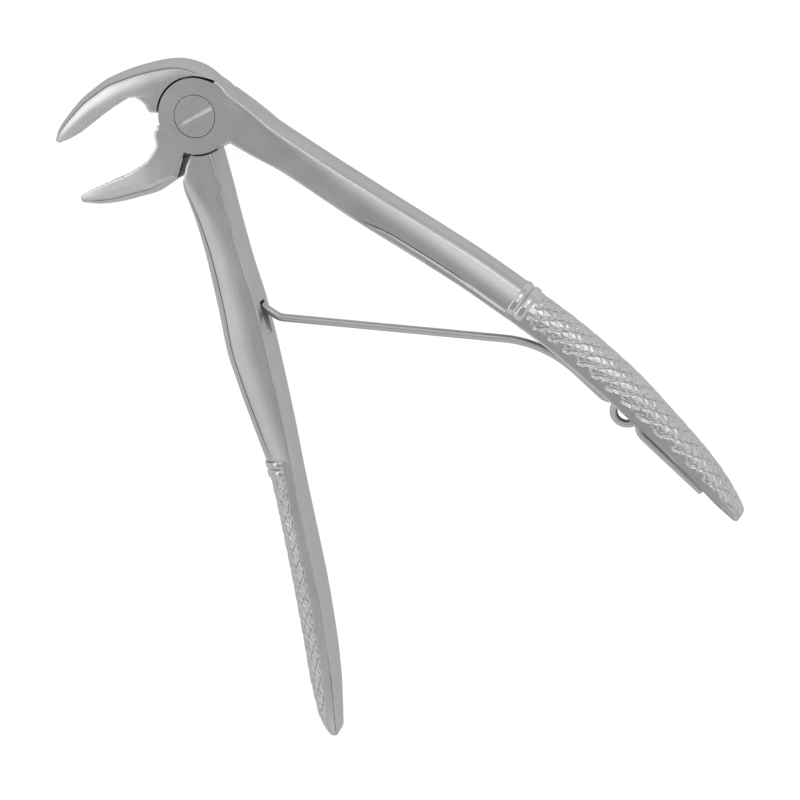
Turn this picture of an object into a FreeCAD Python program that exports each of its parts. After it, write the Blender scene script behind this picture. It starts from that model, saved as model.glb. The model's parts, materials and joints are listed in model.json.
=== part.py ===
import FreeCAD, Part
import Sketcher
import math
import os

# Child's lower extraction forceps: two half-thickness forgings lapped at one pivot screw, with a
# wire return spring. Millimetres. The pivot axis is +Z, the back faces lie on z = 0, and +X runs
# along the bisector of the two handles, which stand half_open each side of it in the open rest pose.
# Each half is drawn in its own frame: its handle runs along local X and is turned by the placement.

doc = FreeCAD.newDocument("extraction_forceps")

SIZES = {
    "thickness": 8.4,         # joint, front face to back face
    "half_open": 21.8,        # angle of each handle from the bisector
    "lap_gap": 0.1,           # between the two laps of the joint
    "lap_rad": 7.1,           # rounded lap of each half
    "lap_recess": 7.32,       # round recess that clears the other half's lap
    "screw_head_rad": 3.85,
    "screw_head_deep": 1.7,
    "screw_seat_rad": 3.95,
    "screw_shank_rad": 2.4,
    "screw_hole_rad": 2.46,   # running clearance in the front half
    "screw_slot_wide": 0.75,
    "screw_slot_deep": 0.7,
    "screw_slot_turn": 84.0,
    "handle_len": 123.8,
    "ring_place": 67.3,       # first of the two rings in front of the grip
    "ring_step": 2.2,
    "ring_wide": 1.1,
    "ring_proud": 0.3,
    "wire_rad": 0.75,
    "coil_rad": 2.45,         # coil, at the middle of the wire
    "coil_rise": 1.25,        # coil centre above the line of the legs
    "wire_step": 1.4,         # between the middles of the two planes the wire lies in
    "hook_len": 2.2,
    "hook_turn": 30.6,        # from the hook's line to the long leg's
    "hook_bend_rad": 3.6,
    "sway_rad": 3.0,          # the two bends that bring each leg up to the coil
    "slot_wide": 3.5,         # groove and coil slot in the right grip
    "notch_wide": 1.9,        # notch for the hook in the left shank
}

sizes = doc.addObject("Spreadsheet::Sheet", "sizes")
for row, (alias, value) in enumerate(SIZES.items(), start=1):
    sizes.set(f"A{row}", alias)
    sizes.set(f"B{row}", str(value))
    sizes.setAlias(f"B{row}", alias)
doc.recompute()


def size(alias):
    return float(sizes.get(alias))


TURN = size("half_open")

# Heights, worked out in the sheet.
MID_HEIGHT = "sizes.thickness / 2"
LAP_TOP = "(sizes.thickness - sizes.lap_gap) / 2"       # front of the back lap
LAP_FLOOR = "(sizes.thickness + sizes.lap_gap) / 2"     # back of the front lap
FRONT_FACE = "sizes.thickness"
LOW_WIRE = "(sizes.thickness - sizes.wire_step) / 2"
HIGH_WIRE = "(sizes.thickness + sizes.wire_step) / 2"

# Handle sections: distance from the pivot, inner side, outer side (both measured away from the
# line from the pivot to the handle's end, outward positive), thickness and outward bulge.
FRONT_SHANK = [
    (9.0, 0.0, 7.45, 8.2, 0.6),
    (19.0, 1.35, 8.1, 7.2, 1.1),
    (33.0, 2.1, 9.2, 7.0, 1.4),
    (50.0, 3.6, 10.7, 7.3, 1.5),
    (66.0, 4.5, 11.5, 7.7, 1.6),
]
FRONT_GRIP = [
    (65.5, 4.5, 11.2, 7.7, 4.4),
    (76.0, 4.6, 11.3, 8.0, 4.6),
    (90.0, 3.7, 10.5, 8.1, 4.7),
    (104.0, 2.2, 8.0, 7.8, 4.0),
    (113.0, 0.8, 5.9, 7.2, 3.4),
    (119.0, -0.3, 3.8, 6.4, 2.6),
    (123.8, -0.9, 1.4, 5.2, 1.1),
]
BACK_SHANK = [
    (12.0, -1.9, 6.2, 7.6, 0.8),
    (19.0, -2.25, 5.4, 6.6, 1.3),
    (28.0, -2.8, 4.9, 6.7, 1.6),
    (36.0, -3.6, 4.85, 7.0, 1.8),
    (44.0, -3.95, 5.0, 7.2, 1.8),
    (52.0, -4.05, 4.2, 7.4, 1.8),
    (59.0, -4.05, 3.2, 7.6, 1.9),
    (66.0, -3.95, 2.0, 7.7, 2.0),
]
BACK_GRIP = [
    (65.5, -3.95, 1.9, 7.7, 3.0),
    (76.0, -3.8, 1.8, 8.0, 3.3),
    (90.0, -3.75, 2.0, 8.1, 3.4),
    (104.0, -3.2, 2.5, 7.8, 3.3),
    (113.0, -2.4, 2.9, 7.2, 3.1),
    (119.0, -1.5, 2.8, 6.4, 2.4),
    (123.8, -0.8, 1.4, 5.2, 1.1),
]

# Beak sections in the row frame: inner point, outer point, thickness and outward bulge, root to tip.
UPPER_BEAK = [
    ((-1.3, 3.0), (-2.25, 7.2), 8.2, 0.5),
    ((-4.0, 2.0), (-6.4, 6.0), 8.2, 0.9),
    ((-5.5, -0.5), (-10.6, 2.4), 8.2, 1.2),
    ((-6.6, -3.4), (-13.1, -3.2), 8.1, 1.4),
    ((-8.5, -7.3), (-14.4, -8.2), 7.8, 1.5),
    ((-9.95, -10.8), (-15.0, -12.4), 7.2, 1.5),
    ((-10.15, -15.2), (-14.75, -17.2), 6.2, 1.4),
    ((-9.85, -19.8), (-13.6, -22.2), 5.2, 1.2),
    ((-9.6, -23.4), (-12.3, -25.4), 4.2, 0.9),
    ((-9.9, -26.1), (-11.0, -26.9), 3.2, 0.4),
]
LOWER_BEAK = [
    ((0.6, -9.6), (7.8, -10.6), 8.1, 0.9),
    ((2.1, -13.2), (7.55, -14.2), 7.5, 1.2),
    ((1.9, -17.6), (6.45, -18.8), 6.3, 1.2),
    ((1.15, -21.6), (5.05, -23.0), 5.2, 1.1),
    ((0.5, -25.2), (3.35, -26.5), 4.2, 0.9),
    ((0.2, -28.3), (1.5, -29.0), 3.2, 0.4),
]
BEAK_HOLLOW = 0.45

# Plan outlines of the roots that join the beaks and handles to the laps, in the row frame.
UPPER_LIP = [(-6.0, -2.0), (-8.9, -7.9), (-7.9, -7.25), (-6.8, -7.0), (-5.6, -7.15), (-5.1, -6.95),
             (-4.4, -5.9), (-3.0, -4.0)]
LOWER_ROOT = [(0.0, -4.5), (-1.9, -6.85), (-1.85, -8.3), (-1.2, -8.75), (0.0, -9.2), (1.1, -10.3),
              (7.75, -11.2), (7.8, -9.9), (5.0, -6.4), (3.4, -4.4)]
# Plan outlines of the handle roots, each in its own half's frame, outward positive.
FRONT_ROOT = [(2.0, -0.8), (9.2, 0.05), (9.2, 7.45), (-0.3, 7.09), (-0.3, 5.0)]
BACK_ROOT = [(3.0, -1.2), (12.2, -1.9), (12.2, 6.15), (10.9, 5.45), (7.6, 3.3), (4.0, 1.0)]
# What the back handle's root loses in front of its lap, in its own frame with outward along -Y.
CORNER_CUT = [(5.0, -1.1), (7.0, -2.3), (8.8, -3.75), (11.3, -4.95), (14.5, -7.5), (5.0, -9.0)]
RING_STOP = 1.6       # the grip's rings end this far from the inner side
LEAST_CUT = 0.01      # a pocket that takes less than this, in mm3, has missed


def origin_plane(body, role):
    return [feature for feature in body.Origin.OriginFeatures if feature.Role == role][0]


def new_body(label):
    body = doc.addObject("PartDesign::Body", label)
    body.Label = label
    return body


def bind(feature, prop, expression):
    feature.setExpression(prop, expression)


def plan_sketch(body, name, height="0 mm"):
    """A sketch parallel to the XY plane, at the height that the expression gives."""
    sketch = body.newObject("Sketcher::SketchObject", name)
    sketch.AttachmentSupport = [(origin_plane(body, "XY_Plane"), "")]
    sketch.MapMode = "FlatFace"
    bind(sketch, "AttachmentOffset.Base.z", height)
    return sketch


def cross_sketch(body, name, foot, outward, height=MID_HEIGHT):
    """An upright sketch through foot: its X axis points outward (degrees in plan), its Y axis up."""
    sketch = plan_sketch(body, name, height)
    aim = math.radians(outward)
    axes = FreeCAD.Matrix(math.cos(aim), 0, math.sin(aim), 0,
                          math.sin(aim), 0, -math.cos(aim), 0,
                          0, 1, 0, 0,
                          0, 0, 0, 1)
    place = FreeCAD.Placement(axes)
    place.Base = FreeCAD.Vector(foot[0], foot[1], 0)
    sketch.AttachmentOffset = place
    return sketch


def circle_in(sketch, alias, centre=(0, 0)):
    """A circle whose radius is the named size."""
    middle = FreeCAD.Vector(centre[0], centre[1], 0)
    index = sketch.addGeometry(Part.Circle(middle, FreeCAD.Vector(0, 0, 1), size(alias)))
    sketch.addConstraint(Sketcher.Constraint("DistanceX", -1, 1, index, 3, centre[0]))
    sketch.addConstraint(Sketcher.Constraint("DistanceY", -1, 1, index, 3, centre[1]))
    radius = sketch.addConstraint(Sketcher.Constraint("Radius", index, size(alias)))
    bind(sketch, f"Constraints[{radius}]", f"sizes.{alias}")


def outline_in(sketch, points):
    """A closed outline of straight sides."""
    corners = [FreeCAD.Vector(x, y, 0) for x, y in points]
    for start, end in zip(corners, corners[1:] + corners[:1]):
        sketch.addGeometry(Part.LineSegment(start, end))


def section_in(sketch, inner, outer, thick, bulge, hollow=0.0):
    """A forged section: inner side flat or hollow, flat front and back, outer side bulged."""
    half = thick / 2
    flat = outer - bulge
    back_in = FreeCAD.Vector(inner, -half, 0)
    front_in = FreeCAD.Vector(inner, half, 0)
    front_out = FreeCAD.Vector(flat, half, 0)
    back_out = FreeCAD.Vector(flat, -half, 0)
    crown = FreeCAD.Vector(outer, 0, 0)
    if hollow:
        floor = FreeCAD.Vector(inner + hollow, 0, 0)
        sketch.addGeometry(Part.Arc(back_in, floor, front_in))
    else:
        sketch.addGeometry(Part.LineSegment(back_in, front_in))
    sketch.addGeometry(Part.LineSegment(front_in, front_out))
    sketch.addGeometry(Part.Arc(front_out, crown, back_out))
    sketch.addGeometry(Part.LineSegment(back_out, back_in))


def pad(body, sketch, name, expression, midplane=False):
    feature = body.newObject("PartDesign::Pad", name)
    feature.Profile = sketch
    feature.Midplane = midplane
    bind(feature, "Length", expression)
    return feature


def pocket(body, sketch, name, expression, midplane=False, upward=False):
    """Cut the sketch's outline: downwards, upwards or both ways. It must take something away."""
    doc.recompute()
    before = body.Shape.Volume
    feature = body.newObject("PartDesign::Pocket", name)
    feature.Profile = sketch
    feature.Midplane = midplane
    feature.Reversed = upward
    bind(feature, "Length", expression)
    doc.recompute()
    if not body.Shape.Volume < before - LEAST_CUT:
        raise RuntimeError(f"{name} cuts nothing")
    return feature


def loft(body, name, sections):
    feature = body.newObject("PartDesign::AdditiveLoft", name)
    feature.Profile = sections[0]
    feature.Sections = sections[1:]
    feature.Ruled = False
    return feature


def handle_loft(body, name, stations, side):
    """Loft one stretch of a handle; side is 1 where outward is +Y and -1 where it is -Y."""
    sections = []
    for number, (along, inner, outer, thick, bulge) in enumerate(stations):
        sketch = cross_sketch(body, f"{name}_section_{number}", (along, 0), 90 * side)
        section_in(sketch, inner, outer, thick, bulge)
        sections.append(sketch)
    return loft(body, name, sections)


def grip_rings(body, name, station, side):
    """Two raised rings round the outer side, just in front of the knurled grip."""
    _, inner, outer, thick, bulge = station
    proud = size("ring_proud")
    for number in (0, 1):
        along = size("ring_place") + number * size("ring_step")
        sketch = cross_sketch(body, f"{name}_ring_sketch_{number}", (along, 0), 90 * side)
        section_in(sketch, inner + RING_STOP, outer + proud, thick + 2 * proud, bulge + proud)
        pad(body, sketch, f"{name}_ring_{number}", "sizes.ring_wide", midplane=True)


def turned(point, angle):
    """A plan point of the row frame in a frame turned by this angle."""
    aim = math.radians(-angle)
    x, y = point
    return (x * math.cos(aim) - y * math.sin(aim), x * math.sin(aim) + y * math.cos(aim))


def beak_loft(body, name, stations, angle):
    sections = []
    for number, (inner, outer, thick, bulge) in enumerate(stations):
        foot = turned(inner, angle)
        crown = turned(outer, angle)
        width = math.dist(foot, crown)
        outward = math.degrees(math.atan2(crown[1] - foot[1], crown[0] - foot[0]))
        sketch = cross_sketch(body, f"{name}_section_{number}", foot, outward)
        section_in(sketch, 0.0, width, thick, bulge, BEAK_HOLLOW)
        sections.append(sketch)
    return loft(body, name, sections)


def full_block(body, name, points):
    """A root block as thick as the joint."""
    sketch = plan_sketch(body, f"{name}_sketch")
    outline_in(sketch, points)
    return pad(body, sketch, name, "sizes.thickness")


# Where the spring lies, in the front half's frame. The coil piece slides along a straight line.
SLIDE_SLOPE = -0.116
BEND = (76.2, 4.1)                 # where the long leg turns into the line of the grip
COIL_ALONG = 95.5
SHORT_LEG_END = 115.4
HOOK_PIVOT = (38.2, 2.8)           # in the back half's frame
SLIDE_REACH = 13.2                 # room for the coil to slide on as the handles close
SLIDE_BACK = 2.1                   # and back past the open rest pose
SLOT_START = 72.2                  # the groove for the legs starts here and runs past the end
SLOT_RAMP = 3.6                    # slope at each end of the coil's deeper slot
SLOT_CLEAR = 0.12                  # between the groove's floor and the wire
COIL_CLEAR = 0.2                   # between the deeper slot's floor and the coil
BEND_GAP = 0.9                     # from the bend to the coil piece's end
COIL_IN = 200                      # how far round the first leg's wire goes, degrees
COIL_OUT = 230                     # and the last leg's, which overlaps it to close the coil
HOOK_AIM = 224.4                   # the hook's direction, in the back half's frame
HOOK_SWING = 41.0                  # how far the hook turns in its hole over the whole travel
HOOK_SPARE = 3.5                   # degrees of room past each end of that swing
HOOK_CLEAR = 0.13                  # between the notch's sides and the wire
PAST = 4.0                         # how far a cut runs on outside the metal


def slide_line(along, above=0.0):
    """A point of the line that the spring's legs keep to, or this far above it."""
    return (along, BEND[1] + SLIDE_SLOPE * (along - BEND[0]) + above)


def make_front_half():
    body = new_body("front_half")
    lap = plan_sketch(body, "front_lap_sketch", LAP_FLOOR)
    circle_in(lap, "lap_rad")
    pad(body, lap, "front_lap", "(sizes.thickness - sizes.lap_gap) / 2")
    full_block(body, "front_root", FRONT_ROOT)
    full_block(body, "lower_root", [turned(point, TURN) for point in LOWER_ROOT])
    handle_loft(body, "front_shank", FRONT_SHANK, 1)
    handle_loft(body, "front_grip", FRONT_GRIP, 1)
    grip_rings(body, "front", FRONT_GRIP[0], 1)
    beak_loft(body, "lower_beak", LOWER_BEAK, TURN)
    recess = plan_sketch(body, "front_recess_sketch", LAP_FLOOR)
    circle_in(recess, "lap_recess")
    pocket(body, recess, "front_recess", "sizes.thickness")
    seat = plan_sketch(body, "screw_seat_sketch", FRONT_FACE)
    circle_in(seat, "screw_seat_rad")
    pocket(body, seat, "screw_seat", "sizes.screw_head_deep + sizes.lap_gap / 2")
    hole = plan_sketch(body, "front_hole_sketch", FRONT_FACE)
    circle_in(hole, "screw_hole_rad")
    pocket(body, hole, "front_hole", "sizes.thickness")
    cut_spring_slot(body)
    return in_front_frame(body)


def cut_spring_slot(body):
    """The shallow groove of the legs, and the deeper slot that the coil slides in."""
    clear = size("wire_rad") + SLOT_CLEAR
    coil_top = size("coil_rise") + size("coil_rad") + size("wire_rad") + COIL_CLEAR
    end = size("handle_len") + PAST
    start = COIL_ALONG - size("coil_rad") - size("wire_rad") - SLIDE_BACK
    stop = COIL_ALONG + size("coil_rad") + size("wire_rad") + SLIDE_REACH
    points = [
        slide_line(SLOT_START, -PAST),
        slide_line(SLOT_START, clear),
        slide_line(start - SLOT_RAMP, clear),
        slide_line(start, coil_top),
        slide_line(stop, coil_top),
        slide_line(stop + SLOT_RAMP, clear),
        slide_line(end, clear),
        slide_line(end, -PAST),
    ]
    sketch = plan_sketch(body, "spring_slot_sketch", MID_HEIGHT)
    outline_in(sketch, points)
    pocket(body, sketch, "spring_slot", "sizes.slot_wide", midplane=True)


def make_back_half():
    body = new_body("back_half")
    plate = plan_sketch(body, "back_lap_sketch")
    circle_in(plate, "lap_rad")
    pad(body, plate, "back_lap", LAP_TOP)
    full_block(body, "back_root", [(x, -y) for x, y in BACK_ROOT])
    full_block(body, "upper_lip", [turned(point, -TURN) for point in UPPER_LIP])
    handle_loft(body, "back_shank", BACK_SHANK, -1)
    handle_loft(body, "back_grip", BACK_GRIP, -1)
    grip_rings(body, "back", BACK_GRIP[0], -1)
    beak_loft(body, "upper_beak", UPPER_BEAK, -TURN)
    recess = plan_sketch(body, "back_recess_sketch", LAP_TOP)
    circle_in(recess, "lap_recess")
    pocket(body, recess, "back_recess", "sizes.thickness", upward=True)
    cut_corner(body)
    hole = plan_sketch(body, "back_hole_sketch", FRONT_FACE)
    circle_in(hole, "screw_shank_rad")
    pocket(body, hole, "back_hole", "sizes.thickness * 2")
    cut_hook_notch(body)
    body.Placement = FreeCAD.Placement()
    bind(body, "Placement.Rotation.Angle", "-sizes.half_open")
    return body


def cut_corner(body):
    """Set the front of the handle's root back from the lower beak."""
    sketch = plan_sketch(body, "corner_sketch", LAP_TOP)
    outline_in(sketch, CORNER_CUT)
    pocket(body, sketch, "corner", "sizes.thickness", upward=True)


def cut_hook_notch(body):
    """A hole through the inner face for the hook, with room for the hook and the leg to swing."""
    clear = size("wire_rad") + HOOK_CLEAR
    hook_len = size("hook_len")
    leg_open = HOOK_AIM - 180 + size("hook_turn") + HOOK_SPARE
    leg_shut = leg_open - HOOK_SWING
    hook_open = HOOK_AIM + HOOK_SPARE
    hook_shut = hook_open - HOOK_SWING

    def reach(angle, distance, across=0.0):
        aim = math.radians(angle)
        return (HOOK_PIVOT[0] + distance * math.cos(aim) - across * math.sin(aim),
                HOOK_PIVOT[1] + distance * math.sin(aim) + across * math.cos(aim))

    points = [
        reach(leg_open, 6.0, clear),
        reach(hook_shut, 0.8, -clear),
        reach(hook_shut, hook_len + 0.3, -clear),
        reach((hook_open + hook_shut) / 2, hook_len + 0.9),
        reach(hook_open, hook_len + 0.3, clear),
        reach(hook_open, 0.0, clear),
        reach(leg_shut, 0.5, -clear),
        reach(leg_shut, 7.0, -clear),
        (HOOK_PIVOT[0] + 5.0, HOOK_PIVOT[1] + 6.0),
    ]
    sketch = plan_sketch(body, "hook_notch_sketch", LOW_WIRE)
    outline_in(sketch, points)
    pocket(body, sketch, "hook_notch", "sizes.notch_wide", midplane=True)


def make_pivot_screw():
    body = new_body("pivot_screw")
    head = plan_sketch(body, "head_sketch", "sizes.thickness - sizes.screw_head_deep")
    circle_in(head, "screw_head_rad")
    pad(body, head, "head", "sizes.screw_head_deep")
    shank = plan_sketch(body, "shank_sketch")
    circle_in(shank, "screw_shank_rad")
    pad(body, shank, "shank", "sizes.thickness - sizes.screw_head_deep / 2")
    slot = plan_sketch(body, "slot_sketch", FRONT_FACE)
    reach = size("screw_head_rad") + 1
    half = size("screw_slot_wide") / 2
    outline_in(slot, [(-reach, -half), (reach, -half), (reach, half), (-reach, half)])
    pocket(body, slot, "slot", "sizes.screw_slot_deep")
    body.Placement = FreeCAD.Placement()
    bind(body, "Placement.Rotation.Angle", "sizes.screw_slot_turn")
    return body


def wire_run(body, name, height, start, heading, moves):
    """A round wire in one level plane, from start: each move is straight on, or a turn to the left.

    A straight move is (length, 0), a bend is (radius, degrees). Gives the end point and heading."""
    spine = plan_sketch(body, f"{name}_spine", height)
    x, y = start
    aim = heading
    for amount, turn in moves:
        along = math.radians(aim)
        if not turn:
            ahead = (x + amount * math.cos(along), y + amount * math.sin(along))
            spine.addGeometry(Part.LineSegment(FreeCAD.Vector(x, y, 0), FreeCAD.Vector(*ahead, 0)))
        else:
            side = math.copysign(90, turn)
            centre_x = x + amount * math.cos(math.radians(aim + side))
            centre_y = y + amount * math.sin(math.radians(aim + side))
            arc = [FreeCAD.Vector(centre_x + amount * math.cos(math.radians(aim + part - side)),
                                  centre_y + amount * math.sin(math.radians(aim + part - side)), 0)
                   for part in (0, turn / 2, turn)]
            spine.addGeometry(Part.Arc(*arc))
            ahead = (arc[2].x, arc[2].y)
            aim += turn
        x, y = ahead
    ring = cross_sketch(body, f"{name}_ring", start, heading + 90, height)
    circle_in(ring, "wire_rad")
    pipe = body.newObject("PartDesign::AdditivePipe", name)
    pipe.Profile = ring
    pipe.Spine = spine
    return (x, y), aim


def wire_end(body, name, height, point):
    """A round end on the wire."""
    ball = body.newObject("PartDesign::AdditiveSphere", name)
    bind(ball, "Radius", "sizes.wire_rad")
    ball.AttachmentSupport = [(origin_plane(body, "XY_Plane"), "")]
    ball.MapMode = "FlatFace"
    ball.AttachmentOffset = FreeCAD.Placement(FreeCAD.Vector(*point, 0), FreeCAD.Rotation())
    bind(ball, "AttachmentOffset.Base.z", height)


def make_spring_leg():
    """The hooked end and the long leg, up to the bend beside the right grip."""
    body = new_body("spring_leg")
    pivot = turned(HOOK_PIVOT, 2 * TURN)
    leg_len = math.dist(pivot, BEND)
    leg_aim = math.degrees(math.atan2(BEND[1] - pivot[1], BEND[0] - pivot[0]))
    turn = size("hook_turn")
    corner = size("hook_bend_rad") * math.tan(math.radians(turn / 2))
    hook_aim = math.radians(leg_aim - turn)
    start = (pivot[0] - size("hook_len") * math.cos(hook_aim),
             pivot[1] - size("hook_len") * math.sin(hook_aim))
    moves = [(size("hook_len") - corner, 0), (size("hook_bend_rad"), turn), (leg_len - corner, 0)]
    end, _ = wire_run(body, "long_leg", LOW_WIRE, start, leg_aim - turn, moves)
    wire_end(body, "leg_end", LOW_WIRE, end)
    return in_front_frame(body)


def make_spring_coil():
    """The coil with a short leg each side: the two legs lie in one line, the coil beside it."""
    body = new_body("spring_coil")
    slope = math.degrees(math.atan(SLIDE_SLOPE))
    coil_rad = size("coil_rad")
    sway_rad = size("sway_rad")
    rise = size("coil_rise") + coil_rad
    sway = math.degrees(math.acos(1 - rise / (2 * sway_rad)))
    sway_run = 2 * sway_rad * math.sin(math.radians(sway))
    before = (COIL_ALONG - BEND[0]) / math.cos(math.radians(slope)) - BEND_GAP - sway_run
    after = (SHORT_LEG_END - COIL_ALONG) / math.cos(math.radians(slope)) - sway_run
    start = slide_line(BEND[0] + BEND_GAP * math.cos(math.radians(slope)))
    first = [(before, 0), (sway_rad, sway), (sway_rad, -sway), (coil_rad, -COIL_IN)]
    wire_run(body, "first_turn", LOW_WIRE, start, slope, first)
    last = [(after, 0), (sway_rad, -sway), (sway_rad, sway), (coil_rad, COIL_OUT)]
    wire_run(body, "last_turn", HIGH_WIRE, slide_line(SHORT_LEG_END), slope + 180, last)
    return in_front_frame(body)


def in_front_frame(body):
    """Turn a body drawn along the right handle to where that handle stands."""
    body.Placement = FreeCAD.Placement()
    bind(body, "Placement.Rotation.Angle", "sizes.half_open")
    return body


front_half = make_front_half()
back_half = make_back_half()
pivot_screw = make_pivot_screw()
spring_leg = make_spring_leg()
spring_coil = make_spring_coil()
doc.recompute()


def write_parts():
    for item in doc.Objects:
        if "Invalid" in item.State or "Error" in item.State:
            raise RuntimeError(f"{item.Name} failed: {item.State}")
    os.makedirs("parts", exist_ok=True)
    for item in [front_half, back_half, pivot_screw, spring_leg, spring_coil]:
        if item.Shape.isNull() or not item.Shape.isValid():
            raise RuntimeError(f"{item.Label} has no valid shape")
        item.Shape.exportStep(f"parts/{item.Label}.step")
        box = item.Shape.BoundBox
        print(f"{item.Label}: {item.Shape.Volume:.1f} mm3, {len(item.Shape.Solids)} solid, "
              f"x {box.XMin:.1f}..{box.XMax:.1f} y {box.YMin:.1f}..{box.YMax:.1f} "
              f"z {box.ZMin:.2f}..{box.ZMax:.2f}")


write_parts()
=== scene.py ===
import json
import math

import bmesh
import bpy
import numpy as np
from mathutils import Matrix, Vector


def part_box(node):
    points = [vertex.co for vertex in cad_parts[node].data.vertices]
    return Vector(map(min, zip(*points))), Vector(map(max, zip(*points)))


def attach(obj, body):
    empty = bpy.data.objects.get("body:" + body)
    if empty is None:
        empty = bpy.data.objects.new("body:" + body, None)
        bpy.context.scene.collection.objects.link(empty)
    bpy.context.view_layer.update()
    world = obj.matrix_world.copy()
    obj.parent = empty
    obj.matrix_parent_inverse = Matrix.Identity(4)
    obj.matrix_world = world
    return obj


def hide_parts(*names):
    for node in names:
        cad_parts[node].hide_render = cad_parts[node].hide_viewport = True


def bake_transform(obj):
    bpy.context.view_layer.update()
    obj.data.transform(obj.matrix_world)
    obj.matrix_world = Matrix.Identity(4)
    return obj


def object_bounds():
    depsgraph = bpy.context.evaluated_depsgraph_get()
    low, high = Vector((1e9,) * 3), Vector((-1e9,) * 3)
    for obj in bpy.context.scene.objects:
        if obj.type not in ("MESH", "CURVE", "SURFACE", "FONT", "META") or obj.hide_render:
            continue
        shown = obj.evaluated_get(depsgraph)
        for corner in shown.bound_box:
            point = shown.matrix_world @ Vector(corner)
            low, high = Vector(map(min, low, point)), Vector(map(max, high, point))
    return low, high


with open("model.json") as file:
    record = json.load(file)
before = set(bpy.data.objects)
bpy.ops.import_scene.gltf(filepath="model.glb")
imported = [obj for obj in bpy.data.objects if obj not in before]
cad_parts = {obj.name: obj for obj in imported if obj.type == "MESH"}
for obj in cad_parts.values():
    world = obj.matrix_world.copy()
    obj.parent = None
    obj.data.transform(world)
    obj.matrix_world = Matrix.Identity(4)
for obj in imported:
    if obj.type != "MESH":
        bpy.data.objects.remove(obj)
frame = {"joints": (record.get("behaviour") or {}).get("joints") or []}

# The looks of a child's extraction forceps. Lengths here are millimetres until a mesh is made, in the
# frame of the CAD: pivot axis +Z, back faces on z = 0, +X between the handles. Each half also has its
# own frame, turned by HALF_OPEN, in which its handle runs along X and outward is away from the hand gap.
MM = 0.001
cad_low, cad_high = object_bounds()
joints = {joint["name"]: joint for joint in frame["joints"]}


def joint_point(name):
    return Vector(joints[name]["pos_m"]) / MM


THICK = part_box("back_half")[1].z / MM
MIDDLE = THICK / 2
BEND = joint_point("spring_bend")
HOOK = joint_point("spring_hook")
HALF_OPEN = 21.8            # degrees from +X to each handle
LAP_RAD = 7.1               # rounded lap of the back half; the front one is trimmed from a wider disc
LAP_RECESS = 7.32           # recess of the front half round the back lap
LAP_GAP = 0.1               # between the two laps
SEAT_RAD = 3.97             # seat of the screw's head
SEAT_DEEP = 1.75
HOLE_RAD = 2.46             # hole for the screw's shank
WIRE_RAD = 0.75
COIL_RAD = 2.45             # coil, at the middle of the wire
COIL_ALONG = 95.5           # the coil's middle, from the pivot
COIL_RISE = 1.25            # from the line of the legs to the coil's middle
SLIDE_SLOPE = -0.116        # slope of the line of the legs in the front half's own frame
SHORT_LEG_END = 115.4
GRIP_START = 66.9
GRIP_END = 123.7
PAST = 1                    # how far a cutter reaches past the face it goes through

# Handle stations: distance from the pivot, inner side, outer side, thickness, outer band in plan,
# roll-off of the front face towards the band (width and drop), and the facet beside the inner side.
FRONT_SHANK = [
    (0.5, -0.50, 7.08, 8.40, 0.06, 0.2, 0.00, 0.0),
    (4.5, -0.45, 7.20, 8.40, 0.10, 0.3, 0.02, 0.0),
    (9.0, 0.00, 7.45, 8.38, 0.45, 0.9, 0.06, 0.0),
    (12.5, 0.40, 7.60, 8.32, 0.80, 1.6, 0.14, 0.0),
    (19.0, 1.35, 8.10, 8.05, 1.10, 2.6, 0.28, 0.0),
    (26.0, 1.75, 8.60, 7.85, 1.25, 3.6, 0.45, 0.0),
    (33.0, 2.10, 9.20, 7.75, 1.40, 4.4, 0.62, 0.0),
    (38.0, 2.48, 9.60, 7.75, 1.45, 4.7, 0.70, 1.00),
    (43.0, 2.95, 10.05, 7.75, 1.50, 5.0, 0.79, 1.45),
    (50.0, 3.60, 10.65, 7.80, 1.55, 5.4, 0.90, 1.45),
    (58.0, 4.20, 11.20, 7.85, 1.60, 5.6, 1.00, 1.30),
    (68.0, 4.55, 11.50, 7.90, 1.60, 5.6, 1.00, 1.15),
]
BACK_SHANK = [
    (7.6, -1.62, 3.10, 8.36, 0.30, 0.3, 0.02, 0.0),
    (9.5, -1.75, 4.60, 8.36, 0.50, 0.6, 0.05, 0.0),
    (11.3, -1.86, 5.85, 8.34, 0.90, 1.2, 0.15, 0.0),
    (13.0, -1.95, 6.15, 8.25, 1.25, 2.0, 0.28, 0.0),
    (16.0, -2.10, 5.80, 8.05, 1.45, 2.8, 0.42, 0.0),
    (19.0, -2.25, 5.40, 7.90, 1.60, 3.4, 0.54, 0.0),
    (28.0, -2.80, 4.90, 7.70, 1.90, 4.4, 0.74, 0.0),
    (36.0, -3.60, 4.85, 7.70, 1.95, 4.8, 0.82, 0.0),
    (44.0, -3.95, 5.00, 7.75, 1.85, 5.0, 0.86, 0.0),
    (52.0, -4.05, 4.20, 7.80, 1.85, 4.8, 0.86, 0.0),
    (60.0, -4.05, 3.05, 7.85, 1.90, 4.4, 0.84, 0.0),
    (68.0, -3.90, 1.80, 7.85, 1.90, 3.8, 0.82, 0.0),
]
# Grip stations: distance from the pivot, inner side, outer side, thickness and bulge.
FRONT_GRIP = [
    (66.0, 4.50, 11.30, 7.75, 4.0),
    (76.0, 4.60, 11.35, 8.00, 4.6),
    (90.0, 3.70, 10.50, 8.10, 4.7),
    (104.0, 2.20, 8.00, 7.80, 4.0),
    (113.0, 0.80, 5.90, 7.20, 3.4),
    (119.0, -0.30, 3.80, 6.40, 2.6),
    (123.8, -0.90, 1.40, 5.20, 1.3),
]
BACK_GRIP = [
    (66.0, -3.95, 1.95, 7.75, 3.0),
    (76.0, -3.80, 1.80, 8.00, 3.3),
    (90.0, -3.75, 2.00, 8.10, 3.4),
    (104.0, -3.20, 2.50, 7.80, 3.3),
    (113.0, -2.40, 2.90, 7.20, 3.1),
    (119.0, -1.50, 2.80, 6.40, 2.4),
    (123.8, -0.80, 1.40, 5.20, 1.3),
]
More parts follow.
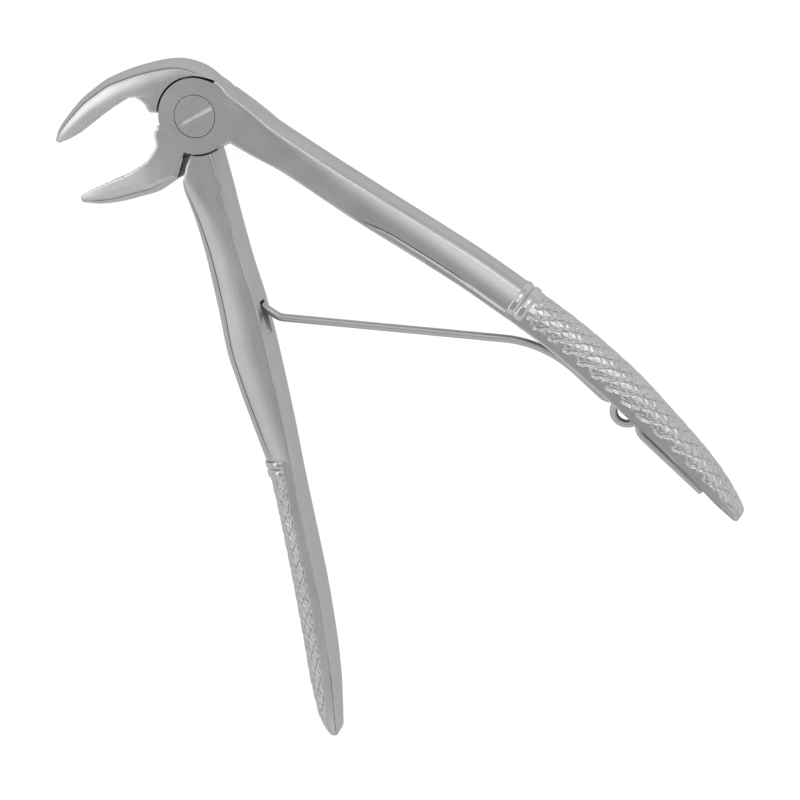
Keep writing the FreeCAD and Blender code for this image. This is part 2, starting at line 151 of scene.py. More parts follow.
# Beak stations in the shared frame: inner point, outer point, thickness, outer band and roll-off
# (width and drop), root to tip.
UPPER_BEAK = [
    ((-1.30, 3.0), (-2.15, 7.25), 8.40, 0.60, 0.9, 0.08),
    ((-4.00, 2.0), (-6.30, 6.05), 8.40, 1.20, 1.5, 0.25),
    ((-5.50, -0.5), (-10.5, 2.5), 8.40, 1.50, 2.2, 0.42),
    ((-6.60, -3.4), (-13.05, -3.2), 8.35, 1.65, 2.9, 0.60),
    ((-8.60, -7.3), (-14.40, -8.2), 8.10, 1.65, 3.1, 0.68),
    ((-10.1, -10.8), (-15.0, -12.4), 7.50, 1.55, 2.9, 0.64),
    ((-10.25, -15.2), (-14.75, -17.2), 6.45, 1.40, 2.5, 0.54),
    ((-9.95, -19.8), (-13.6, -22.2), 5.40, 1.15, 1.9, 0.42),
    ((-9.70, -23.5), (-12.3, -25.6), 4.35, 0.85, 1.3, 0.30),
    ((-9.95, -26.4), (-11.0, -27.2), 3.30, 0.40, 0.5, 0.15),
]
LOWER_BEAK = [
    ((0.20, -6.6), (4.90, -6.9), 8.40, 0.35, 0.4, 0.03),
    ((0.55, -9.3), (7.55, -10.4), 8.40, 0.60, 0.8, 0.10),
    ((1.90, -13.2), (7.65, -14.4), 8.10, 1.00, 1.4, 0.35),
    ((1.80, -17.6), (6.55, -19.0), 7.00, 1.10, 1.7, 0.45),
    ((1.10, -21.6), (5.15, -23.2), 5.80, 1.00, 1.5, 0.42),
    ((0.50, -25.4), (3.45, -26.8), 4.60, 0.90, 0.8, 0.25),
    ((0.20, -28.7), (1.55, -29.4), 3.30, 0.40, 0.4, 0.12),
]
BEAK_HOLLOW = 0.25          # of the inner side
# Plan outlines: the lip and the lower root in the shared frame, the others in their half's own frame.
# BACK_ROOT is drawn with outward as +Y, and mirrored where it is used.
UPPER_LIP = [(-6.0, -2.0), (-8.9, -7.9), (-7.9, -7.25), (-6.8, -7.0), (-5.6, -7.15), (-5.1, -6.95),
             (-4.4, -5.9), (-3.0, -4.0)]
LOWER_ROOT = [(0.0, -4.5), (-1.9, -6.85), (-1.85, -8.3), (-1.2, -8.75), (0.0, -9.2), (1.2, -10.1),
              (6.6, -10.2), (7.7, -9.9), (7.75, -9.6), (5.1, -6.2), (3.4, -4.4)]
FRONT_ROOT = [(2.0, -0.8), (4.5, -0.45), (4.5, 7.0), (-0.3, 7.05), (-0.3, 5.0)]
BACK_ROOT = [(3.0, -1.2), (9.0, -1.7), (9.0, 4.0), (7.6, 3.1), (4.0, 1.0)]
CORNER_CUT = [(5.0, -1.1), (7.0, -2.3), (8.8, -3.75), (11.3, -4.95), (14.5, -7.5), (5.0, -9.0)]
NOTCH = [(36.4, 3.1), (36.9, 2.2), (38.8, 2.4), (40.8, 3.1), (42.7, 3.8), (42.7, 6.0), (36.0, 6.0)]
NOTCH_BACK = 1.0            # reach of the hook's notch behind the hook
NOTCH_FRONT = 1.9           # and in front of it
FREE_EDGES = ((115, 252), (-52, 14))        # degrees, where the rim of the front lap is free
GAP_FRONT_RAD = 7.0         # free rim of the front lap
GAP_BACK_RAD = 7.36         # recess of the back half round it
LAP_ROOT = 0.3              # the front lap is forged this much deeper, then faced
LAP_SPARE = 0.6             # and this much wider, then trimmed along its free rims
TRIM_REACH = 1.1            # how far that trim reaches past LAP_RAD


# ---------------------------------------------------------------- curves and frames

def smooth_curve(knots, values):
    """A curve through the values that never swings past them: a function of the knots' variable."""
    knots = np.array(knots, float)
    values = np.array(values, float)
    steps = np.diff(knots)
    rates = np.diff(values) / steps
    slopes = np.r_[rates[0], np.zeros(len(knots) - 2), rates[-1]]
    for i in range(1, len(knots) - 1):
        if rates[i - 1] * rates[i] > 0:
            before, after = steps[i - 1], steps[i]
            weigh = (2 * after + before, after + 2 * before)
            slopes[i] = sum(weigh) / (weigh[0] / rates[i - 1] + weigh[1] / rates[i])

    def at(where):
        i = int(np.clip(np.searchsorted(knots, where) - 1, 0, len(steps) - 1))
        t = (where - knots[i]) / steps[i]
        return ((1 + 2 * t) * (1 - t) ** 2 * values[i] + t * (1 - t) ** 2 * steps[i] * slopes[i]
                + t * t * (3 - 2 * t) * values[i + 1] + t * t * (t - 1) * steps[i] * slopes[i + 1])

    return at


def columns(stations):
    """One smooth curve for each column of a table whose first column is the distance."""
    table = np.array(stations, float)
    return [smooth_curve(table[:, 0], table[:, k]) for k in range(1, table.shape[1])]


def turn(points, degrees):
    """Plan points turned about the pivot; further columns stay as they are."""
    points = np.array(points, float)
    aim = math.radians(degrees)
    x = points[..., 0] * math.cos(aim) - points[..., 1] * math.sin(aim)
    y = points[..., 0] * math.sin(aim) + points[..., 1] * math.cos(aim)
    points[..., 0] = x
    points[..., 1] = y
    return points


# ---------------------------------------------------------------- meshes

def mesh_object(name, points, faces):
    mesh = bpy.data.meshes.new(name)
    mesh.from_pydata((np.asarray(points) * MM).tolist(), [], faces)
    piece = bpy.data.objects.new(name, mesh)
    bpy.context.scene.collection.objects.link(piece)
    return piece


def tube(name, rings):
    """A closed skin over rings of points, with a flat cap at each end. rings: (along, around, 3)."""
    rings = np.asarray(rings)
    along, around = rings.shape[:2]
    index = np.arange(along * around).reshape(along, around)
    ahead = np.roll(index, -1, axis=1)
    faces = np.stack([index[:-1], ahead[:-1], ahead[1:], index[1:]], axis=-1).reshape(-1, 4).tolist()
    faces.append(index[0, ::-1].tolist())
    faces.append(index[-1].tolist())
    piece = mesh_object(name, rings.reshape(-1, 3), faces)
    face_outward(piece)
    return piece


def face_outward(piece):
    work = bmesh.new()
    work.from_mesh(piece.data)
    bmesh.ops.recalc_face_normals(work, faces=work.faces)
    work.to_mesh(piece.data)
    work.free()


def prism(name, outline, low, high):
    count = len(outline)
    points = [(x, y, z) for z in (low, high) for x, y in outline]
    faces = [[i, (i + 1) % count, count + (i + 1) % count, count + i] for i in range(count)]
    faces.append(list(range(count))[::-1])
    faces.append(list(range(count, 2 * count)))
    piece = mesh_object(name, points, faces)
    face_outward(piece)
    return piece


def disc(name, radius, low, high, sides=256):
    angles = np.linspace(0, 2 * math.pi, sides, endpoint=False)
    return prism(name, list(zip(radius * np.cos(angles), radius * np.sin(angles))), low, high)


def ring_sector(name, inner, outer, start, stop, low, high):
    """A block over part of a ring, from start to stop degrees."""
    angles = np.radians(np.linspace(start, stop, 96))
    inside = [(inner * math.cos(a), inner * math.sin(a)) for a in angles]
    outside = [(outer * math.cos(a), outer * math.sin(a)) for a in angles[::-1]]
    return prism(name, inside + outside, low, high)


def apply_modifiers(piece):
    graph = bpy.context.evaluated_depsgraph_get()
    done = bpy.data.meshes.new_from_object(piece.evaluated_get(graph))
    piece.modifiers.clear()
    piece.data = done


def combine(pieces, name):
    """Put several closed skins in one object, as they are."""
    work = bmesh.new()
    for piece in pieces:
        work.from_mesh(piece.data)
        bpy.data.objects.remove(piece)
    mesh = bpy.data.meshes.new(name)
    work.to_mesh(mesh)
    work.free()
    whole = bpy.data.objects.new(name, mesh)
    bpy.context.scene.collection.objects.link(whole)
    return whole


def forge(piece, voxel, passes):
    """Melt the overlapping skins into one and soften the edges, as grinding and polishing do."""
    melt = piece.modifiers.new("melt", "REMESH")
    melt.mode = "VOXEL"
    melt.voxel_size = voxel * MM
    melt.use_smooth_shade = True
    soft = piece.modifiers.new("soft", "SMOOTH")
    soft.factor = 0.5
    soft.iterations = passes
    apply_modifiers(piece)


def cut(piece, cutter):
    away = piece.modifiers.new("cut", "BOOLEAN")
    away.operation = "DIFFERENCE"
    away.solver = "EXACT"
    away.object = cutter
    apply_modifiers(piece)
    bpy.data.objects.remove(cutter)


WELD = 0.004                # corners nearer than this are made one
CRUMB = 60                  # loose bits with fewer corners are dropped


def clean(piece):
    """Weld the corners that cuts left almost together, and drop loose crumbs."""
    work = bmesh.new()
    work.from_mesh(piece.data)
    bmesh.ops.remove_doubles(work, verts=work.verts, dist=WELD * MM)
    bmesh.ops.dissolve_degenerate(work, edges=work.edges, dist=WELD * MM)
    seen = set()
    crumbs = []
    for first in work.verts:
        if first in seen:
            continue
        seen.add(first)
        island = [first]
        for vertex in island:
            near = [edge.other_vert(vertex) for edge in vertex.link_edges]
            fresh = [other for other in near if other not in seen]
            seen.update(fresh)
            island += fresh
        if len(island) < CRUMB:
            crumbs += island
    bmesh.ops.delete(work, geom=crumbs, context="VERTS")
    bmesh.ops.triangulate(work, faces=[face for face in work.faces if len(face.verts) > 4])
    work.to_mesh(piece.data)
    work.free()


def smooth_shade(piece, angle=32):
    """Smooth shading, with the edges above the angle kept sharp."""
    piece.data.shade_smooth()
    piece.data.set_sharp_from_angle(angle=math.radians(angle))


# ---------------------------------------------------------------- forged sections

VOXEL = 0.18
SOFT_PASSES = 10
SHANK_STEP = 0.5
BEAK_RINGS = 8              # sections for each station of a beak
FACET_STEP = 0.16           # step at the ground facet beside the inner side
FACET_RISE = 0.35           # width of that step
FACET_FADE = 1.4            # how far the hollow beyond the step reaches
FACET_FULL = 1.2            # a facet of this width has the whole step
CREASE_DEEP = 0.25          # fine line between the front face and the outer band
CREASE_WIDE = 0.10
CREASE_FULL = 1.2           # a band of this width has the whole line
SCORE_WIDE = 0.085          # half the width and the depth of the fine ground lines
SCORE_DEEP = 0.38
SCORE_FADE = 14             # points over which such a line fades
FACET_LINE = (35.5, 59.0)   # where those lines start and stop: along the handles,
BAND_LINE = (11.6, 66.4)
LOWER_LINE = (1.4, 5.4)     # and in station numbers along the beaks
UPPER_LINE = (0.8, 8.2)


def half_profile(inner, outer, thick, band, roll_wide, roll_drop, facet):
    """The front half of a forged section, from the middle of the inner side to the crown of the band.

    Gives (outward, height) pairs. The front face is crowned, rolls off towards the band and meets
    it in a fine crease; the facet is a ground step beside the inner side."""
    half = thick / 2
    crease = outer - band
    inner_side = [(inner, half * t) for t in np.linspace(0, 0.96, 8)]
    across = 1 - (1 - np.linspace(0, 1, 34)) ** 1.3
    front = []
    for t in across:
        v = inner + t * (crease - inner)
        to_band = max(0.0, 1 - (crease - v) / roll_wide)
        height = half - roll_drop * to_band ** 2
        if facet > 0.01:
            past = v - inner - facet
            depth = FACET_STEP * min(1.0, facet / FACET_FULL)
            height -= depth * (math.exp(-past / FACET_FADE) if past > 0 else max(0.0, 1 + past / FACET_RISE))
        front.append((v, height))
    edge = front[-1][1]
    radius = (edge ** 2 + band ** 2) / (2 * band)
    opening = math.asin(min(1.0, edge / radius))
    arc = []
    for t in np.linspace(1, 0, 14):
        aim = opening * t
        arc.append((outer - radius + radius * math.cos(aim), radius * math.sin(aim)))
    line = CREASE_DEEP * min(1.0, band / CREASE_FULL)
    arc[0] = (arc[0][0] + CREASE_WIDE, arc[0][1] - line)
    arc[1] = (arc[1][0], min(arc[1][1], arc[0][1] + 0.6 * line))
    return np.array(inner_side + front + arc)


def whole_profile(half):
    """Both sides of a section from its front half."""
    back = half[-2:0:-1] * (1, -1)
    return np.vstack([half, back])


def shank(name, stations, side):
    """The handle from the joint to the grip, in the shared frame."""
    curves = columns(stations)
    rings = []
    for along in np.arange(stations[0][0], stations[-1][0] + 0.01, SHANK_STEP):
        numbers = [float(curve(along)) for curve in curves]
        numbers[-1] = max(0.0, numbers[-1])
        section = whole_profile(half_profile(*numbers))
        ring = np.column_stack([np.full(len(section), along), side * section[:, 0], section[:, 1] + MIDDLE])
        rings.append(turn(ring, side * HALF_OPEN))
    return tube(name, rings)


def beak_curves(stations):
    """The foot, the crown and the sizes of a beak's section, as one function of the station number."""
    knots = np.arange(len(stations))
    feet = [smooth_curve(knots, [s[0][k] for s in stations]) for k in (0, 1)]
    crowns = [smooth_curve(knots, [s[1][k] for s in stations]) for k in (0, 1)]
    rest = [smooth_curve(knots, [s[k] for s in stations]) for k in (2, 3, 4, 5)]

    def at(t):
        foot = np.array([float(f(t)) for f in feet])
        crown = np.array([float(c(t)) for c in crowns])
        return foot, crown, [float(r(t)) for r in rest]

    return at


def beak(name, stations):
    """A curved beak, hollow on its inner side, tapering to the tip."""
    at = beak_curves(stations)
    rings = []
    for t in np.linspace(0, len(stations) - 1, BEAK_RINGS * len(stations)):
        foot, crown, (thick, band, roll_wide, roll_drop) = at(t)
        width = np.linalg.norm(crown - foot)
        outward = (crown - foot) / width
        section = whole_profile(half_profile(0.0, width, thick, band, roll_wide, roll_drop, 0.0))
        inside = section[:, 0] < 1e-6
        hollow = 1 - (section[:, 1] / (thick / 2)) ** 2
        section[:, 0] += np.where(inside, BEAK_HOLLOW * np.clip(hollow, 0, 1), 0)
        plan = foot + section[:, :1] * outward
        rings.append(np.column_stack([plan, section[:, 1] + MIDDLE]))
    return tube(name, rings)


def crease(inner, outer, thick, band, roll_wide, roll_drop, facet):
    """Where the front face meets the outer band in a section."""
    return outer - band, thick / 2 - roll_drop


def facet_edge(inner, outer, thick, band, roll_wide, roll_drop, facet):
    """Where the ground facet steps up to the front face in a section."""
    return inner + facet, thick / 2 - FACET_STEP


def shank_line(stations, side, start, stop, where):
    """Points along a handle's front face, at one place of its section."""
    curves = columns(stations)
    points = []
    for along in np.linspace(start, stop, 110):
        outward, height = where(*(float(curve(along)) for curve in curves))
        points.append((along, side * outward, height + MIDDLE))
    return turn(points, side * HALF_OPEN)


def beak_line(stations, start, stop):
    """Points along a beak's crease, between two station numbers."""
    at = beak_curves(stations)
    points = []
    for t in np.linspace(start, stop, 70):
        foot, crown, (thick, band, _, roll_drop) = at(t)
        outward = (crown - foot) / np.linalg.norm(crown - foot)
        points.append((*(crown - band * outward), thick / 2 - roll_drop + MIDDLE))
    return points


def score(path):
    """A cutter for a fine line along points on the front face, fading at both ends."""
    path = np.array(path)
    ahead = np.gradient(path, axis=0)
    side = np.cross(ahead, (0, 0, 1))
    side /= np.linalg.norm(side, axis=1)[:, None]
    angles = np.linspace(0, 2 * math.pi, 10, endpoint=False)
    rings = []
    for i, point in enumerate(path):
        fade = min(1.0, (i + 1) / SCORE_FADE, (len(path) - i) / SCORE_FADE)
        across = SCORE_WIDE * (0.4 + 0.6 * fade) * np.outer(np.cos(angles), side[i])
        rings.append(point + across + SCORE_DEEP * fade * np.outer(np.sin(angles), (0, 0, 1)))
    return tube("score", rings)


def front_forging():
    """Lower beak, front lap and right shank."""
    parts = [
        disc("lap", LAP_RAD + LAP_SPARE, MIDDLE - LAP_ROOT, THICK),
        prism("root", turn(FRONT_ROOT, HALF_OPEN), 0, THICK),
        prism("beak_root", LOWER_ROOT, 0, THICK),
        shank("shank", FRONT_SHANK, 1),
        beak("beak", LOWER_BEAK),
    ]
    piece = combine(parts, "front_half_forging")
    forge(piece, VOXEL, SOFT_PASSES)
    lines = [
        score(shank_line(FRONT_SHANK, 1, *FACET_LINE, facet_edge)),
        score(beak_line(LOWER_BEAK, *LOWER_LINE)),
    ]
    cut(piece, combine(lines, "scores"))
    for start, stop in FREE_EDGES:
        trim = (GAP_FRONT_RAD, LAP_RAD + TRIM_REACH, start, stop, MIDDLE - PAST, THICK + PAST)
        cut(piece, ring_sector("free_edge", *trim))
    cut(piece, disc("recess", LAP_RECESS, -PAST, MIDDLE + LAP_GAP / 2))
    cut(piece, disc("seat", SEAT_RAD, THICK - SEAT_DEEP, THICK + PAST))
    cut(piece, disc("hole", HOLE_RAD, -PAST, THICK + PAST, 96))
    clean(piece)
    return piece


def back_forging():
    """Upper beak, back lap and left shank."""
    parts = [
        disc("lap", LAP_RAD, 0, MIDDLE - LAP_GAP / 2),
        prism("root", turn([(x, -y) for x, y in BACK_ROOT], -HALF_OPEN), 0, THICK),
        prism("lip", UPPER_LIP, 0, THICK),
        shank("shank", BACK_SHANK, -1),
        beak("beak", UPPER_BEAK),
    ]
    piece = combine(parts, "back_half_forging")
    forge(piece, VOXEL, SOFT_PASSES)
    lines = [
        score(shank_line(BACK_SHANK, -1, *BAND_LINE, crease)),
        score(beak_line(UPPER_BEAK, *UPPER_LINE)),
    ]
    cut(piece, combine(lines, "scores"))
    cut(piece, disc("recess", GAP_BACK_RAD, MIDDLE - LAP_GAP / 2, THICK + PAST))
    cut(piece, prism("corner", turn(CORNER_CUT, -HALF_OPEN), MIDDLE - LAP_GAP / 2, THICK + PAST))
    cut(piece, hook_notch())
    clean(piece)
    return piece


def hook_notch():
    """The hole for the spring's hook in the inner face of the left shank."""
    return prism("notch", turn(NOTCH, -HALF_OPEN), HOOK.z - NOTCH_BACK, HOOK.z + NOTCH_FRONT)


# ---------------------------------------------------------------- knurled grips

RINGS = (67.5, 69.3)        # middles of the two beads
RING_HALF = 0.78            # half the width of a bead
RING_PROUD = 0.36
KNURL_START = 70.6
KNURL_ANGLE = 34.0
KNURL_FADE = 0.6            # over which the knurl deepens at the grip's start
MAIN_PITCH = 1.95           # the deeper family of grooves
MAIN_WIDE = 0.30
MAIN_DEEP = 0.38
CROSS_PITCH = 1.5           # the finer family that crosses it
CROSS_WIDE = 0.22
CROSS_DEEP = 0.12
GRIP_STEP = 0.17
GRIP_POINTS = 180           # round the outside of a section
END_ROUND = 1.1             # length of the rounded end
END_SMALLER = 0.30          # share by which the section shrinks there
EDGE = 0.35                 # bevel of the inner edges
EDGE_LINE = 0.17            # depth of the fine line beside the front inner edge
FRONT_BAND = 1.8            # plain bands beside the inner edges of the grips
BACK_BAND = 2.2
SLOT_WIDE = 3.5             # the spring's slot in the front grip
SLOT_EARLY = 4.0            # the slot starts this far before the spring's bend
SLOT_CLEAR = 0.12           # room beyond the wire
SLOT_RAMP = 3.6             # length of the slope at each end of the coil's deeper slot
COIL_CLEAR = 0.2            # room beyond the coil
COIL_IN = 2.1               # room for the coil to slide: towards the pivot,
COIL_OUT = 13.2             # and towards the end
NO_SLOT = -99.0             # a slot floor that lies inward of every grip


def arch(inner, outer, thick, bulge):
    """The rounded outside of a grip section, evenly spaced from the back inner edge to the front one."""
    half = thick / 2
    flat = outer - bulge
    points = [(inner, -half + EDGE), (inner + EDGE * 0.3, -half + EDGE * 0.3), (inner + EDGE, -half)]
    points += [(v, -half) for v in np.linspace(inner + EDGE, flat, 6)[1:]]
    radius = (half ** 2 + bulge ** 2) / (2 * bulge)
    opening = math.atan2(half, radius - bulge)
    for aim in np.linspace(-opening, opening, 60):
        points.append((outer - radius + radius * math.cos(aim), radius * math.sin(aim)))
    points += [(v, half) for v in np.linspace(flat, inner + EDGE, 6)]
    points += [(inner + EDGE * 0.75, half - EDGE_LINE), (inner + EDGE * 0.45, half - 0.05)]
    points += [(inner, half - EDGE)]
    points = np.array(points)
    steps = np.r_[0, np.cumsum(np.linalg.norm(np.diff(points, axis=0), axis=1))]
    even = np.linspace(0, steps[-1], GRIP_POINTS)
    line = np.column_stack([np.interp(even, steps, points[:, k]) for k in (0, 1)])
    return line, even - steps[-1] / 2


def groove(distance, pitch, width):
    """1 on the lines of one family of grooves, 0 between them."""
    off = np.abs((distance / pitch + 0.5) % 1 - 0.5) * pitch
    return np.exp(-(off / width) ** 2)


def knurl(along, around, fade):
    """Depth of the two crossing families of grooves, with the small unevenness of cut metal."""
    lean = math.radians(KNURL_ANGLE)
    shift = 0.10 * np.sin(1.9 * along + 0.7 * around) + 0.07 * np.sin(4.3 * around - 2.1 * along)
    main = groove(along * math.sin(lean) + around * math.cos(lean) + shift, MAIN_PITCH, MAIN_WIDE)
    cross = groove(along * math.sin(lean) - around * math.cos(lean) - shift, CROSS_PITCH, CROSS_WIDE)
    uneven = 0.8 + 0.2 * np.sin(2.7 * along + 1.3) * np.sin(3.1 * around)
    return fade * np.maximum(MAIN_DEEP * main, CROSS_DEEP * cross * uneven)


def bead(along):
    """Height of the two rings in front of the grip."""
    height = np.zeros_like(along)
    for middle in RINGS:
        off = np.abs(along - middle) / RING_HALF
        height = np.maximum(height, RING_PROUD * np.sqrt(np.clip(1 - off ** 2, 0, 1)))
    return height


def grip(name, stations, side, band, slot):
    """The knurled grip with its two rings, as one closed skin in the shared frame."""
    curves = columns(stations)
    rings = []
    for along in np.arange(GRIP_START, GRIP_END, GRIP_STEP):
        inner, outer, thick, bulge = (float(curve(along)) for curve in curves)
        line, around = arch(inner, outer, thick, bulge)
        normal = np.gradient(line, axis=0)
        normal = np.column_stack([normal[:, 1], -normal[:, 0]])
        normal /= np.linalg.norm(normal, axis=1)[:, None]
        to_edge = around[-1] - np.abs(around)
        fade = np.clip((to_edge - band) / 0.5, 0, 1) * np.clip((along - KNURL_START) / KNURL_FADE, 0, 1)
        fade *= np.clip((GRIP_END - 1.2 - along) / 1.0, 0, 1)
        ring_fade = np.clip((to_edge - band * 0.8) / 1.0, 0, 1)
        height = bead(np.array([along]))[0] * ring_fade - knurl(along, around, fade)
        line = line + normal * height[:, None]
        face = inner_face(along, inner, thick, slot)
        section = np.vstack([line, face])
        middle = np.array([(inner + outer) / 2, 0])
        section = middle + (section - middle) * end_round(along)
        ring = np.column_stack([np.full(len(section), along), side * section[:, 0], section[:, 1] + MIDDLE])
        rings.append(turn(ring, side * HALF_OPEN))
    return tube(name, rings)


def end_round(along):
    """How much smaller the section gets in the last stretch, for a rounded end."""
    past = max(0.0, (along - (GRIP_END - END_ROUND)) / END_ROUND)
    return 1 - END_SMALLER * (1 - math.sqrt(1 - min(past, 0.995) ** 2))


def inner_face(along, inner, thick, slot):
    """The flat inner side, from the front edge to the back one, with the spring's slot if it has one."""
    half = thick / 2 - EDGE
    wall = SLOT_WIDE / 2
    heights = [half * 0.9, wall + 0.02, wall - 0.02, wall * 0.5, 0]
    heights += [-h for h in heights[-2::-1]]
    floor = max(inner, slot(along)) if slot else inner
    return np.array([(floor if abs(h) < wall else inner, h) for h in heights])


def slot_floor(along):
    """How far outward the spring's slot reaches in the right grip."""
    line = BEND_OWN[1] + SLIDE_SLOPE * (along - BEND_OWN[0])
    clear = WIRE_RAD + SLOT_CLEAR
    deep = COIL_RISE + COIL_RAD + WIRE_RAD + COIL_CLEAR
    start = COIL_ALONG - COIL_RAD - WIRE_RAD - COIL_IN
    stop = COIL_ALONG + COIL_RAD + WIRE_RAD + COIL_OUT
    if along < BEND_OWN[0] - SLOT_EARLY:
        return NO_SLOT
    knees = [start - SLOT_RAMP, start, stop, stop + SLOT_RAMP]
    return line + np.interp(along, knees, [clear, deep, deep, clear])


BEND_OWN = turn([[BEND.x, BEND.y]], -HALF_OPEN)[0]


# ---------------------------------------------------------------- spring

HOOK_TIP = (29.4, -23.4)        # in the front half's own frame, as the corner is
HOOK_CORNER = (33.4, -23.1)
CORNER_RAD = 3.0
BEND_RAD = 22.0
SWAY_RAD = 3.0                  # the bends that bring each leg up to the coil
SWAY_POINTS = 14
COIL_POINTS = 72
WIRE_SIDES = 28
DOME = 0.35                     # height of the wire's domed ends, as a share of its radius


def spring_path():
    """The middle of the wire from the hook's tip to the end of the short leg, in the shared frame."""
    slope = math.atan(SLIDE_SLOPE)
    ahead = np.array([math.cos(slope), math.sin(slope)])
    across = np.array([-ahead[1], ahead[0]])
    low = HOOK.z
    high = 2 * MIDDLE - HOOK.z
    coil = (COIL_ALONG - BEND_OWN[0]) / math.cos(slope)
    end = (SHORT_LEG_END - BEND_OWN[0]) / math.cos(slope)
    rise = COIL_RISE + COIL_RAD
    swing = math.acos(1 - rise / (2 * SWAY_RAD))
    run = 2 * SWAY_RAD * math.sin(swing)
    shares = np.linspace(0, 1, SWAY_POINTS)

    def place(x, y, z):
        return (*(BEND_OWN + x * ahead + y * across), z)

    def sway(x, y, along, up, aims, z):
        """Half of an S-bend that starts or ends at x, y."""
        reach = along * SWAY_RAD
        lift = up * SWAY_RAD
        return [place(x + reach * math.sin(a), y + lift * (1 - math.cos(a)), z) for a in aims]

    path = rounded([HOOK_TIP, HOOK_CORNER, BEND_OWN, BEND_OWN + 12 * ahead], [CORNER_RAD, BEND_RAD])
    points = [(*p, low) for p in path]
    points += sway(coil - run, 0, 1, 1, swing * shares, low)
    points += sway(coil, rise, -1, -1, swing * (1 - shares[1:]), low)
    for t in np.linspace(0, 1, COIL_POINTS)[1:]:
        aim = math.pi / 2 - 2 * math.pi * t
        ease = t * t * (3 - 2 * t)
        height = low + (high - low) * ease
        points.append(place(coil + COIL_RAD * math.cos(aim), COIL_RISE + COIL_RAD * math.sin(aim), height))
    points += sway(coil, rise, 1, -1, swing * shares[1:], high)
    points += sway(coil + run, 0, -1, 1, swing * (1 - shares[1:]), high)
    points += [place(x, 0, high) for x in np.linspace(coil + run, end - 0.1, 24)[1:]]
    return turn(points, HALF_OPEN)


def rounded(corners, radii):
    """A plan path with each inner corner rounded to its radius, as close points."""
    corners = [np.array(c, float) for c in corners]
    path = [corners[0]]
    for before, corner, after, radius in zip(corners, corners[1:], corners[2:], radii):
        come = (corner - before) / np.linalg.norm(corner - before)
        go = (after - corner) / np.linalg.norm(after - corner)
        angle = math.acos(float(np.clip(come @ go, -1, 1)))
        reach = radius * math.tan(angle / 2)
        start = corner - come * reach
        stretch = np.linalg.norm(start - path[-1])
        path += [path[-1] + (start - path[-1]) * t for t in np.linspace(0, 1, max(2, int(stretch)))[1:]]
        side = np.array([-come[1], come[0]]) * (1 if come[0] * go[1] - come[1] * go[0] > 0 else -1)
        centre = start + side * radius
        for t in np.linspace(0, 1, 16)[1:]:
            path.append(centre - side * radius * math.cos(angle * t) + come * radius * math.sin(angle * t))
    stretch = np.linalg.norm(corners[-1] - path[-1])
    last = path[-1]
    path += [last + (corners[-1] - last) * t for t in np.linspace(0, 1, max(2, int(stretch * 2)))[1:-1]]
    return path


def spring():
    """One wire, swept round its path with domed ends."""
    path = np.array(spring_path())
    ahead = np.gradient(path, axis=0)
    ahead /= np.linalg.norm(ahead, axis=1)[:, None]
    side = np.cross(ahead, (0, 0, 1))
    side /= np.linalg.norm(side, axis=1)[:, None]
    up = np.cross(side, ahead)
    angles = np.linspace(0, 2 * math.pi, WIRE_SIDES, endpoint=False)

    def ring(i, radius, shift=0.0):
        return (path[i] + shift * ahead[i]
                + radius * (np.outer(np.cos(angles), side[i]) + np.outer(np.sin(angles), up[i])))

    dome = [(WIRE_RAD * math.cos(a), DOME * WIRE_RAD * math.sin(a)) for a in np.radians([80, 60, 40, 20])]
    rings = [ring(0, radius, -shift) for radius, shift in dome]
    rings += [ring(i, WIRE_RAD) for i in range(len(path))]
    rings += [ring(-1, radius, shift) for radius, shift in dome[::-1]]
    return tube("return_spring", rings)


# ---------------------------------------------------------------- screw

HEAD_RAD = 3.85
HEAD_DEEP = 1.7
SCREW_SHANK_RAD = 2.4
SCREW_EDGE = 0.06           # bevel of the head and its slot
SLOT_LONG = 7.15
SLOT_ACROSS = 0.7
SLOT_DEEP = 0.7
SLOT_TURN = 85.5            # degrees from +X
SCREW_GRAIN = 84.0          # direction of the grinding lines on the head


def pivot_screw():
    """The screw with its slot, which stops just inside the rim of the head."""
    long, across = SLOT_LONG / 2, SLOT_ACROSS / 2
    piece = disc("head", HEAD_RAD, THICK - HEAD_DEEP, THICK)
    slot = turn([(-long, -across), (long, -across), (long, across), (-long, across)], SLOT_TURN)
    cut(piece, prism("slot", slot, THICK - SLOT_DEEP, THICK + PAST))
    bevel = piece.modifiers.new("edges", "BEVEL")
    bevel.width = SCREW_EDGE * MM
    bevel.segments = 2
    bevel.limit_method = "ANGLE"
    bevel.angle_limit = math.radians(40)
    apply_modifiers(piece)
    piece = combine([piece, disc("shank", SCREW_SHANK_RAD, 0, THICK - HEAD_DEEP)], "slotted_screw")
    smooth_shade(piece, 30)
    for face in piece.data.polygons:
        face.use_smooth = abs(face.normal.z) < 0.99
    return piece


def paint_slot_highlight(piece):
    """Paint the floor of the slot much lighter than the head: a painted highlight standing in for the
    reflection in the slot's floor.
    """
    floor_height = (THICK - SLOT_DEEP) * MM
    for face in piece.data.polygons:
        if abs(face.center.z - floor_height) < 0.02 * MM and face.normal.z > 0.9:
            # painted highlight: the slot's floor faces get the lighter material
            face.material_index = 1


# ---------------------------------------------------------------- materials

